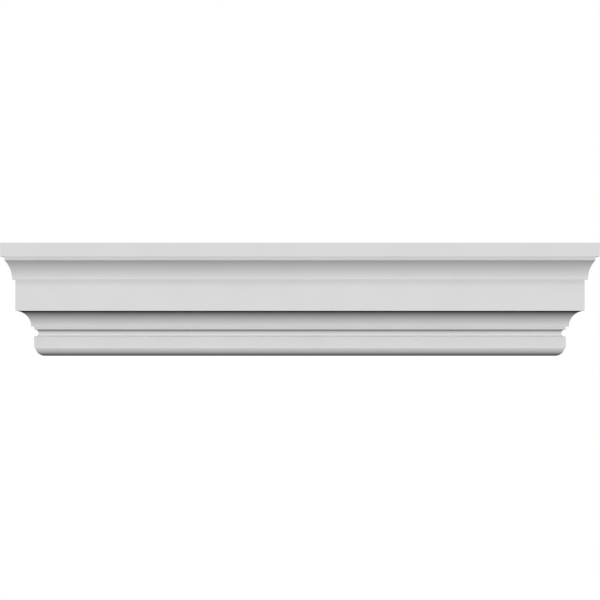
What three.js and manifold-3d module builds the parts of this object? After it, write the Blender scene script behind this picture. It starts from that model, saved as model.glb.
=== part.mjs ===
// Over door cornice: a moulding cast in one piece, with its profile returned round both ends.
// Millimetres, +Z up. The back lies flat against the wall in the plane Y = 0, the face looks
// towards -Y, and the origin is the middle of the back.

import * as THREE from 'three';
import { mergeVertices } from 'three/addons/utils/BufferGeometryUtils.js';
import Module from 'manifold-3d';

// The flat underside that sits over the door casing.
const soffitLength = 1049;
const soffitDepth = 29.3;

// The members of the face, from the bottom up. A height runs up the wall and a reach runs away
// from it, measured from the member below.
const ovoloRadius = 18.2;
const ovoloHeight = 15.5;
const ovoloQuirk = 2.5;
const bandHeight = 24.1;
const grooveRadius = 7.2;
const grooveLip = 1.2;
const lowerFilletHeight = 6.0;
const lowerCoveStep = 5.75;
const lowerCoveFoot = 1.1;
const lowerCoveRise = 31.5;
const lowerCoveReach = 29.95;
const friezeHeight = 63.5;
const upperCoveStep = 6.4;
const upperCoveFoot = 2.0;
const upperCoveRise = 37.4;
const upperCoveReach = 14.0;
const upperFilletHeight = 7.2;
const fasciaStep = 8.4;
const fasciaHeight = 28.5;

// Straight pieces that stand for one arc.
const arcSteps = 24;

// How far each run passes beyond the other, so that only real faces are left by the mitre.
const overrun = 10;

// Primed white foam.
const primerColor = 0xd9d9d9;
const primerRoughness = 0.6;

// The face as points (reach, height), from the soffit's front edge to the top edge.
function facePoints() {
  const points = [new THREE.Vector2(0, 0)];
  const last = () => points[points.length - 1];
  const rise = (height) => points.push(new THREE.Vector2(last().x, last().y + height));
  const reachOut = (reach) => points.push(new THREE.Vector2(last().x + reach, last().y));

  // The arc starts at the last point, so its own first point is left out.
  const arc = (centerX, centerY, radius, from, to, clockwise) => {
    const curve = new THREE.EllipseCurve(centerX, centerY, radius, radius, from, to, clockwise);
    points.push(...curve.getPoints(arcSteps).slice(1));
  };

  // A cove starts upright at its foot and hollows out to the member above.
  const cove = (height, reach) => {
    const radius = (height ** 2 + reach ** 2) / (2 * reach);
    const end = Math.atan2(height, reach - radius);
    arc(last().x + radius, last().y, radius, Math.PI, end, true);
  };

  const ovoloEnd = Math.asin(ovoloHeight / ovoloRadius - 1);
  arc(0, ovoloRadius, ovoloRadius, -Math.PI / 2, ovoloEnd, false);
  reachOut(ovoloQuirk);
  rise(bandHeight);

  reachOut(-grooveLip);
  arc(last().x, last().y + grooveRadius, grooveRadius, -Math.PI / 2, Math.PI / 2, true);
  reachOut(grooveLip);
  rise(lowerFilletHeight);

  reachOut(lowerCoveStep);
  rise(lowerCoveFoot);
  cove(lowerCoveRise, lowerCoveReach);
  rise(friezeHeight);

  reachOut(upperCoveStep);
  rise(upperCoveFoot);
  cove(upperCoveRise, upperCoveReach);
  rise(upperFilletHeight);

  reachOut(fasciaStep);
  rise(fasciaHeight);
  return points;
}

const face = facePoints();
const { x: overhang, y: height } = face[face.length - 1];
const projection = soffitDepth + overhang;
const length = soffitLength + 2 * overhang;

// Section of the long run: x is the distance from the wall, and y the height.
function frontSection() {
  const outline = face.map((point) => new THREE.Vector2(soffitDepth + point.x, point.y));
  outline.push(new THREE.Vector2(0, height), new THREE.Vector2(0, 0));
  return new THREE.Shape(outline);
}

// Outline seen from the front, with the same face at both ends: x runs along the wall.
function endSection() {
  const half = soffitLength / 2;
  const right = face.map((point) => new THREE.Vector2(half + point.x, point.y));
  right.unshift(new THREE.Vector2(half, -overrun));
  right.push(new THREE.Vector2(half + overhang, height + overrun));
  const left = right.map((point) => new THREE.Vector2(-point.x, point.y)).reverse();
  return new THREE.Shape([...right, ...left]);
}

// A section swept straight, then turned so that its x, y and sweep follow the three directions.
function sweep(section, depth, xAxis, yAxis, sweepAxis, start) {
  const geometry = new THREE.ExtrudeGeometry(section, { depth, bevelEnabled: false });
  const placing = new THREE.Matrix4().makeBasis(xAxis, yAxis, sweepAxis);
  placing.setPosition(start);
  return geometry.applyMatrix4(placing);
}

const wasm = await Module();
wasm.setup();

function toSolid(geometry) {
  geometry.deleteAttribute('normal');
  geometry.deleteAttribute('uv');
  const merged = mergeVertices(geometry);
  return new wasm.Manifold(new wasm.Mesh({
    numProp: 3,
    vertProperties: new Float32Array(merged.attributes.position.array),
    triVerts: new Uint32Array(merged.index.array),
  }));
}

function toGeometry(solid) {
  const mesh = solid.getMesh();
  const geometry = new THREE.BufferGeometry();
  geometry.setAttribute('position', new THREE.BufferAttribute(mesh.vertProperties, mesh.numProp));
  geometry.setIndex(new THREE.BufferAttribute(mesh.triVerts, 1));
  return geometry;
}

// The moulding is what the long run and the end outline have in common, which mitres its corners.
function corniceGeometry() {
  const right = new THREE.Vector3(1, 0, 0);
  const left = new THREE.Vector3(-1, 0, 0);
  const front = new THREE.Vector3(0, -1, 0);
  const up = new THREE.Vector3(0, 0, 1);
  const bottom = -height / 2;
  const runStart = new THREE.Vector3(length / 2 + overrun, 0, bottom);
  const run = sweep(frontSection(), length + 2 * overrun, front, up, left, runStart);
  const endStart = new THREE.Vector3(0, overrun, bottom);
  const ends = sweep(endSection(), projection + 2 * overrun, right, up, front, endStart);
  return toGeometry(toSolid(run).intersect(toSolid(ends)));
}

const primer = new THREE.MeshStandardMaterial({
  color: primerColor,
  roughness: primerRoughness,
  metalness: 0,
  flatShading: true,
});

const cornice = new THREE.Mesh(corniceGeometry(), primer);
cornice.name = 'cornice';

const overDoorCornice = new THREE.Group();
overDoorCornice.add(cornice);

export default overDoorCornice;
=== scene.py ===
import math

import bmesh
import bpy
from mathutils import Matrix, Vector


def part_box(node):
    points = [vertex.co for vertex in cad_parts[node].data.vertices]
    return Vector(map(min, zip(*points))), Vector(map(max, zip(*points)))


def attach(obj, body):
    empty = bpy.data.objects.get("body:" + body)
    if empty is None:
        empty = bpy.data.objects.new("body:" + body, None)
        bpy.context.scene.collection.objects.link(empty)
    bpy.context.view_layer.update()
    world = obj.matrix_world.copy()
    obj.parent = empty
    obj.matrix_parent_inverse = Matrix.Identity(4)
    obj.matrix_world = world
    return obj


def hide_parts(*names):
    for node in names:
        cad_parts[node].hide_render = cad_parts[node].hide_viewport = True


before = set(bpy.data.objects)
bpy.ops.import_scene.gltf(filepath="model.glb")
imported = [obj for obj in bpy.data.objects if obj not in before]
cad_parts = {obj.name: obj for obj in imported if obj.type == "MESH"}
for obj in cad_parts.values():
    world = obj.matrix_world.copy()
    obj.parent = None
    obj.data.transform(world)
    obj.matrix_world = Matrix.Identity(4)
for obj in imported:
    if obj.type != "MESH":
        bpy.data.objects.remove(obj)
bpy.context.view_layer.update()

# The cornice is one casting of rigid foam. Its face is moulded in a single length, with the same
# members returned round both ends, and the mould is sprayed with primer before it is filled. The
# back is planed flat, and goes against the wall over the door casing with adhesive and screws.

foot_corner, top_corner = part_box("cornice")
wall = top_corner.y

# The members, from the top down. A step runs in under the member above it.
fascia_height = 0.0285
fascia_step = 0.0084
upper_fillet_height = 0.0072
upper_cove_rise = 0.0374
upper_cove_reach = 0.0140
upper_cove_foot = 0.0020
upper_cove_step = 0.0064
frieze_height = 0.0635
lower_cove_rise = 0.0315
lower_cove_reach = 0.02995
lower_cove_foot = 0.0011
lower_cove_step = 0.00575
lower_fillet_height = 0.0060
groove_lip = 0.0012
groove_radius = 0.0072
band_height = 0.0241
ovolo_quirk = 0.0025
ovolo_height = 0.0155
ovolo_radius = 0.0182

facet_angle = math.radians(3)


def turn(radius, start, end):
    """Short strips round an arc, between two angles about its centre: 0 points into the wall."""
    count = round(abs(end - start) / facet_angle)
    angles = [start + (end - start) * k / count for k in range(count + 1)]
    return [
        (radius * (math.cos(there) - math.cos(here)), radius * (math.sin(there) - math.sin(here)))
        for here, there in zip(angles, angles[1:])
    ]


def cove(rise, reach):
    """A hollow that curves down and in from the member above, and ends upright."""
    radius = (rise ** 2 + reach ** 2) / (2 * reach)
    return turn(radius, math.atan2(rise, radius - reach), 0)


def groove(lip, radius):
    """A half-round channel between two narrow level lips."""
    return [(lip, 0), *turn(radius, math.pi / 2, -math.pi / 2), (-lip, 0)]


def ovolo(height, radius):
    """A round that rolls in under the band, and ends level with the underside."""
    return turn(radius, math.pi - math.asin(height / radius - 1), math.pi * 3 / 2)


# Each strip of the face, as how far it runs in towards the wall and how far it rises.
strips = [
    (0, -fascia_height),
    (fascia_step, 0),
    (0, -upper_fillet_height),
    *cove(upper_cove_rise, upper_cove_reach),
    (0, -upper_cove_foot),
    (upper_cove_step, 0),
    (0, -frieze_height),
    *cove(lower_cove_rise, lower_cove_reach),
    (0, -lower_cove_foot),
    (lower_cove_step, 0),
    (0, -lower_fillet_height),
    *groove(groove_lip, groove_radius),
    (0, -band_height),
    (ovolo_quirk, 0),
    *ovolo(ovolo_height, ovolo_radius),
]

# The level top comes first. Its front and end edges are then drawn down the face, strip by strip,
# which mitres the corners. The last corners are the underside's, and the back closes the casting.
level_top = [
    (foot_corner.x, foot_corner.y, top_corner.z),
    (top_corner.x, foot_corner.y, top_corner.z),
    (top_corner.x, wall, top_corner.z),
    (foot_corner.x, wall, top_corner.z),
]
casting = bmesh.new()
casting.faces.new([casting.verts.new(corner) for corner in level_top])
rim = [edge for edge in casting.edges if any(corner.co.y < wall for corner in edge.verts)]
for inset, rise in strips:
    drawn = bmesh.ops.extrude_edge_only(casting, edges=rim)["geom"]
    corners = [part for part in drawn if isinstance(part, bmesh.types.BMVert)]
    edges = [part for part in drawn if isinstance(part, bmesh.types.BMEdge)]
    rim = [edge for edge in edges if all(corner in corners for corner in edge.verts)]
    for corner in corners:
        corner.co.x -= inset * math.copysign(1, corner.co.x)
        corner.co.z += rise
        if corner.co.y < wall:
            corner.co.y += inset
bmesh.ops.contextual_create(casting, geom=corners)
bmesh.ops.holes_fill(casting, edges=casting.edges, sides=0)
bmesh.ops.recalc_face_normals(casting, faces=casting.faces)

# The mould leaves every arris slightly round.
arris_angle = math.radians(20)
arris_radius = 0.00008
arris_strips = 3
arrises = [edge for edge in casting.edges if edge.calc_face_angle(0) > arris_angle]
bmesh.ops.bevel(
    casting, geom=arrises, offset=arris_radius, segments=arris_strips, profile=0.5, affect="EDGES",
    material=-1, clamp_overlap=True,
)

# Only the back faces the wall squarely, and it alone is bare foam.
square_to_wall = 0.99
bare_foam_slot = 1
for face in casting.faces:
    face.smooth = True
    if face.normal.y > square_to_wall:
        face.material_index = bare_foam_slot

mesh = bpy.data.meshes.new("moulded_cornice")
casting.to_mesh(mesh)
casting.free()
cornice = bpy.data.objects.new("moulded_cornice", mesh)
bpy.context.scene.collection.objects.link(cornice)

# Wide faces shade flat, and the rounding of the arrises takes up the turn between them.
wide_face_weight = 100
flats = cornice.modifiers.new("flat faces shade flat", "WEIGHTED_NORMAL")
flats.mode = "FACE_AREA"
flats.weight = wide_face_weight


def lay_out(material, texture):
    """Lays a texture out on the piece itself, in metres."""
    place = material.node_tree.nodes.new("ShaderNodeTexCoord")
    material.node_tree.links.new(place.outputs["Object"], texture.inputs["Vector"])


def grain(material, size, detail):
    """A soft random pattern, whose spots are about one size across."""
    noise = material.node_tree.nodes.new("ShaderNodeTexNoise")
    noise.inputs["Scale"].default_value = 1 / size
    noise.inputs["Detail"].default_value = detail
    lay_out(material, noise)
    return noise.outputs["Fac"]


def tone(material, pattern, dark, light):
    """Colours the surface between two shades that lie close together."""
    dark_below = 0.3
    light_above = 0.7
    ramp = material.node_tree.nodes.new("ShaderNodeValToRGB")
    ramp.color_ramp.elements[0].position = dark_below
    ramp.color_ramp.elements[0].color = dark
    ramp.color_ramp.elements[1].position = light_above
    ramp.color_ramp.elements[1].color = light
    material.node_tree.links.new(pattern, ramp.inputs["Fac"])
    shader = material.node_tree.nodes["Principled BSDF"]
    material.node_tree.links.new(ramp.outputs["Color"], shader.inputs["Base Color"])


def sheen(material, pattern, smoothest, roughest):
    """Lets the roughness wander a little, so that the gloss isn't even."""
    span = material.node_tree.nodes.new("ShaderNodeMapRange")
    span.inputs["To Min"].default_value = smoothest
    span.inputs["To Max"].default_value = roughest
    material.node_tree.links.new(pattern, span.inputs["Value"])
    shader = material.node_tree.nodes["Principled BSDF"]
    material.node_tree.links.new(span.outputs["Result"], shader.inputs["Roughness"])


def relief(material, layers):
    """Lays patterns over each other as fine relief, each with its own depth."""
    links = material.node_tree.links
    below = None
    for pattern, depth in layers:
        bump = material.node_tree.nodes.new("ShaderNodeBump")
        bump.inputs["Distance"].default_value = depth
        links.new(pattern, bump.inputs["Height"])
        if below:
            links.new(below, bump.inputs["Normal"])
        below = bump.outputs["Normal"]
    links.new(below, material.node_tree.nodes["Principled BSDF"].inputs["Normal"])


primer_light = (0.812, 0.812, 0.810, 1)
primer_dark = (0.788, 0.788, 0.787, 1)
primer_smoothest = 0.72
primer_roughest = 0.80
cloud_size = 0.090
cloud_detail = 3
peel_size = 0.0042
peel_detail = 1
peel_depth = 0.000045
stipple_size = 0.0012
stipple_detail = 2
stipple_depth = 0.000012


def primer_coat():
    """White primer sprayed in the mould: matt, with a faint orange peel and a fine stipple."""
    material = bpy.data.materials.new("white_primer")
    material.use_nodes = True
    clouds = grain(material, cloud_size, cloud_detail)
    peel = grain(material, peel_size, peel_detail)
    stipple = grain(material, stipple_size, stipple_detail)
    tone(material, clouds, primer_dark, primer_light)
    sheen(material, clouds, primer_smoothest, primer_roughest)
    relief(material, [(peel, peel_depth), (stipple, stipple_depth)])
    return material


foam_light = (0.84, 0.81, 0.73, 1)
foam_dark = (0.73, 0.70, 0.62, 1)
foam_smoothest = 0.82
foam_roughest = 0.95
flow_size = 0.045
flow_detail = 2
cell_size = 0.0012
cell_share = 0.55
cell_depth = 0.00025
knife_pitch = 0.005
knife_depth = 0.00008
knife_wander = 0.6
knife_wander_detail = 1
knife_wander_scale = 0.2


def knife_marks(material):
    """Shallow waves across the length, left by the turning knives of the planer."""
    # At a scale of 1 the wave pattern turns through 20 radians in a metre.
    radians_per_metre = 20
    wave = material.node_tree.nodes.new("ShaderNodeTexWave")
    wave.inputs["Scale"].default_value = 2 * math.pi / (radians_per_metre * knife_pitch)
    wave.inputs["Distortion"].default_value = knife_wander
    wave.inputs["Detail"].default_value = knife_wander_detail
    wave.inputs["Detail Scale"].default_value = knife_wander_scale
    lay_out(material, wave)
    return wave.outputs["Fac"]


def cut_cells(material):
    """Bubbles of the foam, cut open by the planer."""
    cells = material.node_tree.nodes.new("ShaderNodeTexVoronoi")
    cells.inputs["Scale"].default_value = 1 / cell_size
    lay_out(material, cells)
    return cells.outputs["Distance"]


def blend(material, broad, fine, fine_share):
    """Two patterns in one: the fine one has the share given, and the broad one the rest."""
    mix = material.node_tree.nodes.new("ShaderNodeMix")
    mix.inputs["Factor"].default_value = fine_share
    material.node_tree.links.new(broad, mix.inputs["A"])
    material.node_tree.links.new(fine, mix.inputs["B"])
    return mix.outputs["Result"]


def planed_foam():
    """Bare foam, planed once it is out of the mould: cream, with open cells and knife marks."""
    material = bpy.data.materials.new("planed_foam")
    material.use_nodes = True
    flow = grain(material, flow_size, flow_detail)
    cells = cut_cells(material)
    tone(material, blend(material, flow, cells, cell_share), foam_dark, foam_light)
    sheen(material, flow, foam_smoothest, foam_roughest)
    relief(material, [(knife_marks(material), knife_depth), (cells, cell_depth)])
    return material


mesh.materials.append(primer_coat())
mesh.materials.append(planed_foam())

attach(cornice, "root")
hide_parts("cornice")

# The camera looks level at the middle of the face from far off, square to the wall. The top of the
# cornice fills the width of its view.

camera_distance = 7.11
eye_height = -0.0010
level_gaze = math.radians(90)

camera = bpy.data.objects.new("camera", bpy.data.cameras.new("camera"))
bpy.context.scene.collection.objects.link(camera)
camera.location = (0, foot_corner.y - camera_distance, eye_height)
camera.rotation_euler = (level_gaze, 0, 0)
camera.data.lens = camera.data.sensor_width * camera_distance / (top_corner.x - foot_corner.x)
bpy.context.scene.camera = camera

# The studio is white all round, and its pale floor lies where the floor of the doorway would be. Low
# fills off both ends and a higher one in front light the face, and two keys in front and above cast
# its soft shadows. A lamp straight overhead lights the ledges, and a fill behind lights the back.

bpy.context.scene.view_settings.view_transform = "Standard"

door_height = 2.1
floor_radius = 18.0
floor_sides = 96
floor_color = (0.95, 0.95, 0.95, 1)
floor_roughness = 0.9

floor_sheet = bmesh.new()
bmesh.ops.create_circle(floor_sheet, cap_ends=True, segments=floor_sides, radius=floor_radius)
bmesh.ops.translate(floor_sheet, verts=floor_sheet.verts, vec=(0, 0, foot_corner.z - door_height))
floor_mesh = bpy.data.meshes.new("floor")
floor_sheet.to_mesh(floor_mesh)
floor_sheet.free()
floor = bpy.data.objects.new("floor", floor_mesh)
bpy.context.scene.collection.objects.link(floor)
floor_paint = bpy.data.materials.new("floor_paint")
floor_paint.use_nodes = True
floor_paint.node_tree.nodes["Principled BSDF"].inputs["Base Color"].default_value = floor_color
floor_paint.node_tree.nodes["Principled BSDF"].inputs["Roughness"].default_value = floor_roughness
floor_mesh.materials.append(floor_paint)

white = (1, 1, 1, 1)
world = bpy.data.worlds.new("studio")
bpy.context.scene.world = world
world.use_nodes = True
world.node_tree.nodes["Background"].inputs["Color"].default_value = white

# Only lamps light the cornice. The white round it and the floor throw nothing back, and its own
# members show in each other as no more than a faint shine.
world.cycles_visibility.diffuse = False
world.cycles_visibility.glossy = False
floor.visible_diffuse = False
floor.visible_glossy = False
cornice.visible_diffuse = False

straight_up = 90


def lamp(name, azimuth, elevation, brightness, spread):
    """A distant lamp: azimuth 0 is in front, 90 off the right end, and 180 behind the wall.

    A white surface that faces it squarely shows its brightness, and its spread softens the shadows.
    """
    light = bpy.data.lights.new(name, "SUN")
    light.energy = math.pi * brightness
    light.angle = math.radians(spread)
    holder = bpy.data.objects.new(name, light)
    holder.rotation_euler = (math.radians(straight_up - elevation), 0, math.radians(azimuth))
    bpy.context.scene.collection.objects.link(holder)
    return holder


def fill(name, azimuth, elevation, brightness):
    """A lamp that only lifts the shade: it casts no shadow and leaves no shine."""
    holder = lamp(name, azimuth, elevation, brightness, spread=1)
    holder.data.use_shadow = False
    holder.visible_glossy = False


side_azimuth = 58
side_elevation = 9.8
side_brightness = 0.618

fill("left fill", -side_azimuth, side_elevation, side_brightness)
fill("right fill", side_azimuth, side_elevation, side_brightness)
fill("high fill", azimuth=0, elevation=40, brightness=0.165)
fill("back fill", azimuth=180, elevation=0, brightness=0.85)
lamp("high key", azimuth=0, elevation=60, brightness=0.165, spread=20)
lamp("low key", azimuth=0, elevation=40, brightness=0.047, spread=10)
overhead = lamp("overhead", azimuth=0, elevation=straight_up, brightness=0.5, spread=0)
overhead.visible_glossy = False
